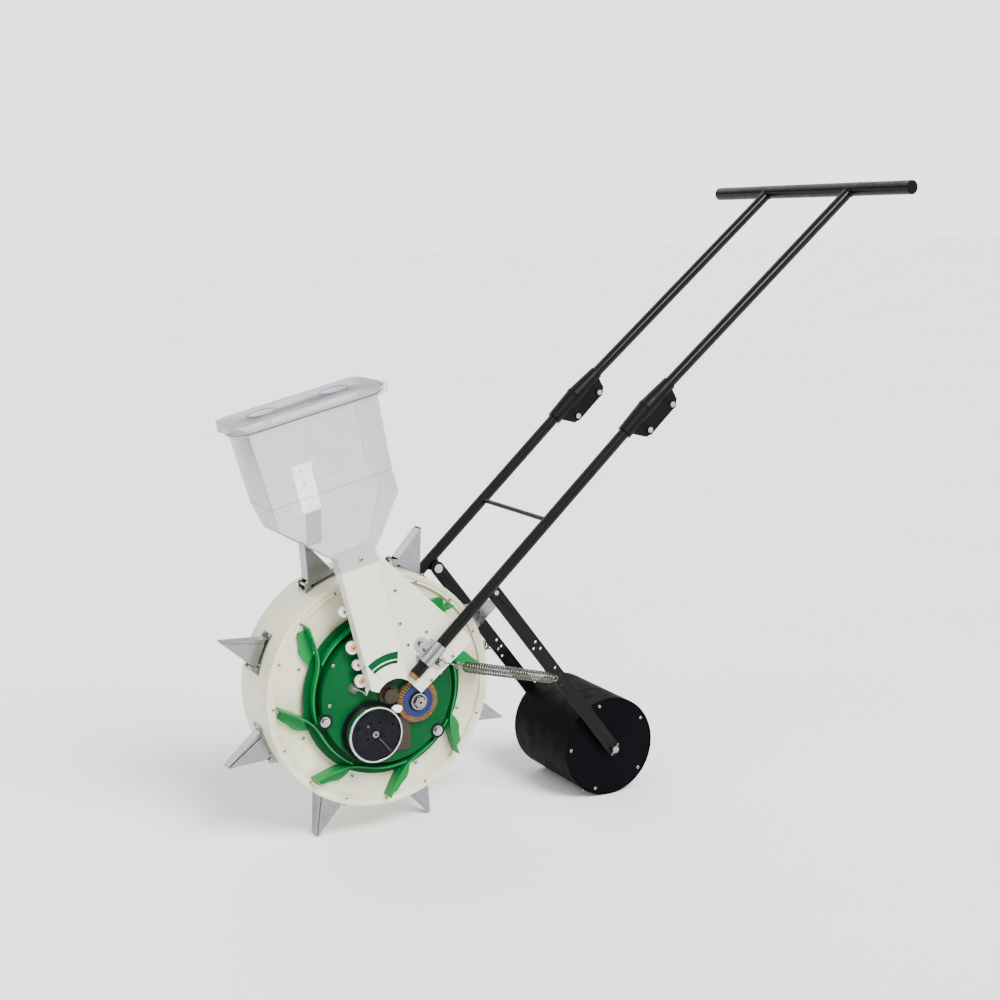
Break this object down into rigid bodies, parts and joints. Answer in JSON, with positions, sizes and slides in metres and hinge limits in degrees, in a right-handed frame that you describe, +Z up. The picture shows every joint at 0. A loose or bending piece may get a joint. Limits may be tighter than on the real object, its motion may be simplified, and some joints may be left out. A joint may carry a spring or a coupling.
{
  "type": "rolling dibber seeder",
  "caption": "Hand-pushed rolling seeder: a drum with opening steel beaks, side hopper and chute, geared metering unit, two-piece tube handle and sprung press roller.",
  "frame": {"origin": "centre of the bounding box, on the ground", "axes": "+X back towards the handlebar, +Y across the machine to its right-hand side, +Z up; it rolls towards -X"},
  "size_m": [1.1998, 0.5592, 1.0714],
  "materials": {
    "black_paint": "satin black powder coat",
    "zinc": "bright zinc plate",
    "galvanised": "galvanised sheet",
    "polished_steel": "bright",
    "spring_steel": "bright wire",
    "yellow_zinc": "yellow passivated",
    "ivory_plastic": "satin",
    "plate_white": "satin",
    "chute_white": "gloss",
    "clear_plastic": "clear, slightly frosted",
    "green_plastic": "gloss, translucent",
    "smoky_plastic": "smoky translucent",
    "black_plastic": "satin",
    "roller_plastic": "satin",
    "blue_plastic": "satin",
    "white_plastic": "satin",
    "grey_plastic": "matte",
    "bristle": "stiff bristle",
    "tan_plug": "matte"
  },
  "bodies": {
    "frame": {"lower_tube_left": "black_paint", "lower_tube_right": "black_paint", "upper_tube_left": "black_paint", "upper_tube_right": "black_paint", "cross_brace": "black_paint", "coupler_left": "black_paint", "coupler_right": "black_paint", "handlebar": "black_paint", "end_plugs": "tan_plug", "frame_bolts": "zinc", "tube_clamp_left": "zinc", "tube_clamp_right": "zinc", "side_plate_left": "plate_white", "side_plate_right": "plate_white", "chute_front": "chute_white", "chute_back": "chute_white", "casing_screws": "zinc", "main_axle": "zinc", "axle_nut": "zinc", "hopper": "clear_plastic", "lid_hinge": "clear_plastic", "gate_bracket": "white_plastic", "gate_slide": "grey_plastic", "seed_dish": "green_plastic", "dish_bolts": "zinc", "metering_ring": "polished_steel", "metering_cover": "clear_plastic", "seed_chamber": "smoky_plastic", "hub_bush": "smoky_plastic", "spring_left": "spring_steel", "spring_right": "spring_steel"},
    "drum": {"drum_shell": "ivory_plastic", "drum_side_left": "ivory_plastic", "drum_side_right": "ivory_plastic", "seed_guides": "green_plastic", "ring_gear": "ivory_plastic", "drum_bearings": "zinc", "drum_screws": "zinc", "fixed_jaws": "galvanised", "jaw_pins": "yellow_zinc"},
    "seed_wheel": {"seed_plate": "black_plastic", "seed_pinion": "white_plastic"},
    "brush": {"brush_hub": "blue_plastic", "brush_bristles": "bristle", "brush_shaft": "zinc"},
    "lid": {"hopper_lid": "clear_plastic"},
    "press_arms": {"arm_left": "black_paint", "arm_right": "black_paint", "roller_axle": "zinc"},
    "press_roller": {"roller_shell": "roller_plastic", "roller_caps": "roller_plastic", "roller_screws": "zinc"},
    "jaw_1": {"moving_jaw_1": "galvanised"},
    "jaw_2": {"moving_jaw_2": "galvanised"},
    "jaw_3": {"moving_jaw_3": "galvanised"},
    "jaw_4": {"moving_jaw_4": "galvanised"},
    "jaw_5": {"moving_jaw_5": "galvanised"},
    "jaw_6": {"moving_jaw_6": "galvanised"},
    "jaw_7": {"moving_jaw_7": "galvanised"},
    "jaw_8": {"moving_jaw_8": "galvanised"}
  },
  "joints": [
    {"name": "drum_spin", "type": "hinge", "parent": "frame", "child": "drum", "pos_m": [-0.34558, 0, 0.25434], "axis": [0, -1, 0], "continuous": true},
    {"name": "seed_plate_spin", "type": "hinge", "parent": "frame", "child": "seed_wheel", "pos_m": [-0.38068, -0.1, 0.19816], "axis": [0, -1, 0], "continuous": true},
    {"name": "brush_spin", "type": "hinge", "parent": "frame", "child": "brush", "pos_m": [-0.29822, -0.1, 0.23831], "axis": [0, -1, 0], "continuous": true},
    {"name": "lid_hinge_turn", "type": "hinge", "parent": "frame", "child": "lid", "pos_m": [-0.33729, -0.055, 0.76568], "axis": [0, 1, 0], "range_deg": [0, 110]},
    {"name": "press_arm_swing", "type": "hinge", "parent": "frame", "child": "press_arms", "pos_m": [-0.15458, 0, 0.40584], "axis": [0, 1, 0], "range_deg": [-18, 8], "stiffness_Nm_per_rad": 60, "springref_deg": 5.04, "deforming": ["spring_left", "spring_right"]},
    {"name": "press_roller_spin", "type": "hinge", "parent": "press_arms", "child": "press_roller", "pos_m": [0.07842, 0, 0.0891], "axis": [0, -1, 0], "continuous": true},
    {"name": "jaw_1_open", "type": "hinge", "parent": "drum", "child": "jaw_1", "pos_m": [-0.54761, 0, 0.30881], "axis": [0, -1, 0], "range_deg": [0, 22], "stiffness_Nm_per_rad": 0.15, "springref_deg": -20.05},
    {"name": "jaw_2_open", "type": "hinge", "parent": "drum", "child": "jaw_2", "pos_m": [-0.52695, 0, 0.14999], "axis": [0, -1, 0], "range_deg": [0, 22], "stiffness_Nm_per_rad": 0.15, "springref_deg": -20.05},
    {"name": "jaw_3_open", "type": "hinge", "parent": "drum", "child": "jaw_3", "pos_m": [-0.40004, 0, 0.05231], "axis": [0, -1, 0], "range_deg": [0, 22], "stiffness_Nm_per_rad": 0.15, "springref_deg": -20.05},
    {"name": "jaw_4_open", "type": "hinge", "parent": "drum", "child": "jaw_4", "pos_m": [-0.24123, 0, 0.07297], "axis": [0, -1, 0], "range_deg": [0, 22], "stiffness_Nm_per_rad": 0.15, "springref_deg": -20.05},
    {"name": "jaw_5_open", "type": "hinge", "parent": "drum", "child": "jaw_5", "pos_m": [-0.14354, 0, 0.19988], "axis": [0, -1, 0], "range_deg": [0, 22], "stiffness_Nm_per_rad": 0.15, "springref_deg": -20.05},
    {"name": "jaw_6_open", "type": "hinge", "parent": "drum", "child": "jaw_6", "pos_m": [-0.1642, 0, 0.3587], "axis": [0, -1, 0], "range_deg": [0, 22], "stiffness_Nm_per_rad": 0.15, "springref_deg": -20.05},
    {"name": "jaw_7_open", "type": "hinge", "parent": "drum", "child": "jaw_7", "pos_m": [-0.29112, 0, 0.45638], "axis": [0, -1, 0], "range_deg": [0, 22], "stiffness_Nm_per_rad": 0.15, "springref_deg": -20.05},
    {"name": "jaw_8_open", "type": "hinge", "parent": "drum", "child": "jaw_8", "pos_m": [-0.44993, 0, 0.43572], "axis": [0, -1, 0], "range_deg": [0, 22], "stiffness_Nm_per_rad": 0.15, "springref_deg": -20.05}
  ],
  "couplings": [
    {"joint": "seed_plate_spin", "follows": "drum_spin", "ratio": 4.5333},
    {"joint": "brush_spin", "follows": "drum_spin", "ratio": 2.4286}
  ]
}
